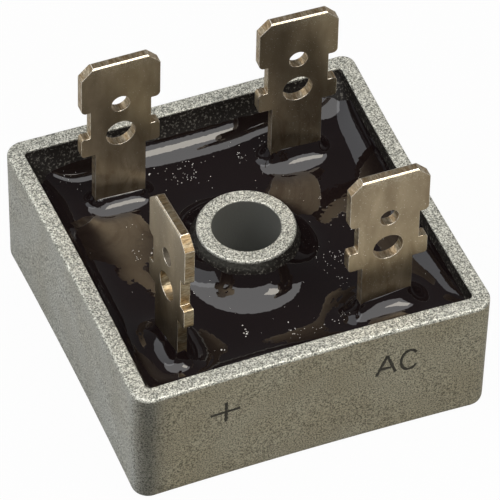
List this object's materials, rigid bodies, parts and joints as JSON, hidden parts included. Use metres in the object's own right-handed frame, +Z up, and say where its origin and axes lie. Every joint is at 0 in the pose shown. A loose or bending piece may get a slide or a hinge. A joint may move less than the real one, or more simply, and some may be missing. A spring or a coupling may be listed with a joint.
{
  "type": "bridge rectifier",
  "caption": "Potted bridge rectifier: square metal case with a central mounting bore, upright quick-connect blades, and the lead frame, chips and solder joints inside the resin.",
  "frame": {"origin": "middle of the case's underside, on the axis of the mounting bore", "axes": "+Z up the bore, out of the open side of the case; -Y towards the side face that carries the polarity marks; +X to the right when that face is looked at"},
  "size_m": [0.0288, 0.0288, 0.023],
  "materials": {
    "case_metal": "blasted",
    "resin": "glossy",
    "blade_metal": "satin",
    "copper": "satin",
    "ceramic": "matte",
    "silicon": "glossy",
    "solder": "satin"
  },
  "bodies": {
    "root": {"case": "case_metal", "potting": "resin", "insulator": "ceramic", "positive_plate": "copper", "negative_plate": "copper", "ac_strap_front": "copper", "ac_strap_rear": "copper", "chip_front": "silicon", "chip_left": "silicon", "chip_right": "silicon", "chip_rear": "silicon", "terminal_positive": "blade_metal", "terminal_negative": "blade_metal", "terminal_ac_front": "blade_metal", "terminal_ac_rear": "blade_metal", "solder_under_chip_front": "solder", "solder_under_chip_left": "solder", "solder_under_chip_right": "solder", "solder_under_chip_rear": "solder", "solder_over_chip_front": "solder", "solder_over_chip_left": "solder", "solder_over_chip_right": "solder", "solder_over_chip_rear": "solder", "solder_positive_foot": "solder", "solder_negative_foot": "solder", "solder_ac_front_foot": "solder", "solder_ac_rear_foot": "solder"}
  },
  "joints": []
}
